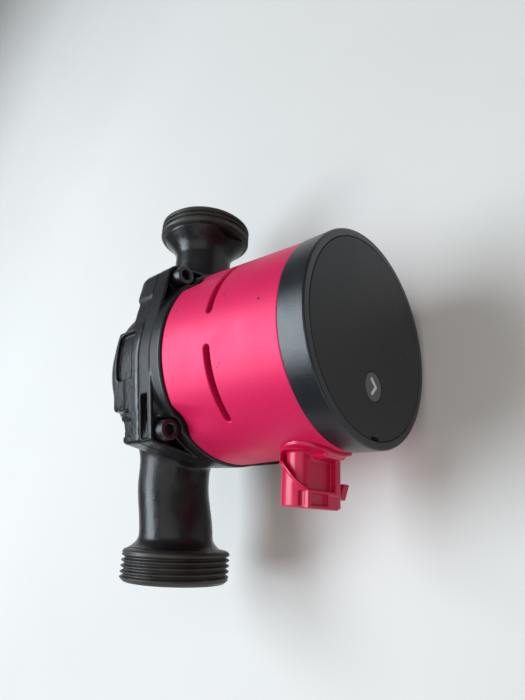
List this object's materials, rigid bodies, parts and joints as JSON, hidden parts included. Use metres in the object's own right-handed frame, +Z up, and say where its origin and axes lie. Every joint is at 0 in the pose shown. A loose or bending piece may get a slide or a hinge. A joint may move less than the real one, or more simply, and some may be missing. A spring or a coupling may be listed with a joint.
{
  "type": "heating circulator pump",
  "caption": "In-line wet-rotor circulator pump: cast volute with threaded pipe ports, flanged motor with a round control head, push button and side power socket.",
  "frame": {"origin": "centre of the inlet port's sealing face, on the pipe axis", "axes": "+X along the pipe from inlet to outlet, shaft along Y with the control face towards -Y, +Z up with the shaft level as the pump is installed"},
  "size_m": [0.18, 0.1264, 0.09],
  "materials": {
    "coated_cast_iron": "glossy black electro-coat over cast iron",
    "stainless": "drawn stainless steel",
    "seal_rubber": "matt black rubber",
    "carbon_ceramic": "dark fine-ground carbon ceramic",
    "black_frame": "satin black coated aluminium",
    "laminations": "stacked electrical steel",
    "bobbin_plastic": "natural moulded plastic",
    "enamelled_copper": "enamelled copper wire",
    "black_screw_steel": "black zinc plated steel",
    "red_shell_paint": "satin metallic crimson paint over aluminium",
    "red_plastic": "glossy red moulded plastic",
    "plated_brass": "tin plated brass",
    "circuit_board": "green solder resist",
    "component_black": "moulded black epoxy",
    "thermal_pad": "soft grey-blue silicone",
    "capacitor_sleeve": "shrunk sleeve",
    "ferrite": "coated ferrite",
    "capacitor_box": "moulded yellow case",
    "lamp_lens": "clear lamp body",
    "clear_plastic": "clear moulded plastic",
    "ring_plastic": "satin black moulded plastic",
    "panel_film": "dark grey satin film",
    "button_plastic": "grey satin plastic",
    "shaft_ceramic": "polished ceramic",
    "magnet": "sintered ferrite magnet",
    "impeller_plastic": "glass-filled plastic"
  },
  "bodies": {
    "pump": {"pump_housing": "coated_cast_iron", "wear_ring": "stainless", "housing_seal": "seal_rubber", "bearing_plate": "stainless", "front_bearing": "carbon_ceramic", "rotor_can": "stainless", "rear_bearing": "carbon_ceramic", "stator_frame": "black_frame", "stator_core": "laminations", "coil_bobbins": "bobbin_plastic", "stator_coils": "enamelled_copper", "flange_screws": "black_screw_steel", "motor_shell": "red_shell_paint", "power_socket": "red_plastic", "contact_pins": "plated_brass", "main_board": "circuit_board", "power_module": "component_black", "thermal_pad": "thermal_pad", "capacitors": "capacitor_sleeve", "choke_core": "ferrite", "choke_winding": "enamelled_copper", "filter_capacitor": "capacitor_box", "display_board": "circuit_board", "face_lamps": "lamp_lens", "switch_case": "component_black", "light_guide": "clear_plastic", "control_ring": "ring_plastic", "face_panel": "panel_film"},
    "rotor": {"rotor_shaft": "shaft_ceramic", "rotor_magnet": "magnet", "rotor_sleeve": "stainless", "rotor_caps": "stainless", "thrust_ring": "shaft_ceramic", "impeller": "impeller_plastic", "impeller_shroud": "impeller_plastic", "impeller_lock": "stainless"},
    "button": {"mode_button": "button_plastic"}
  },
  "joints": [
    {"name": "rotor_spin", "type": "hinge", "parent": "pump", "child": "rotor", "pos_m": [0.0935, 0, 0], "axis": [0, 1, 0], "continuous": true},
    {"name": "button_press", "type": "slide", "parent": "pump", "child": "button", "axis": [0, 1, 0], "range_m": [0, 0.0006], "stiffness_N_per_m": 2500}
  ]
}
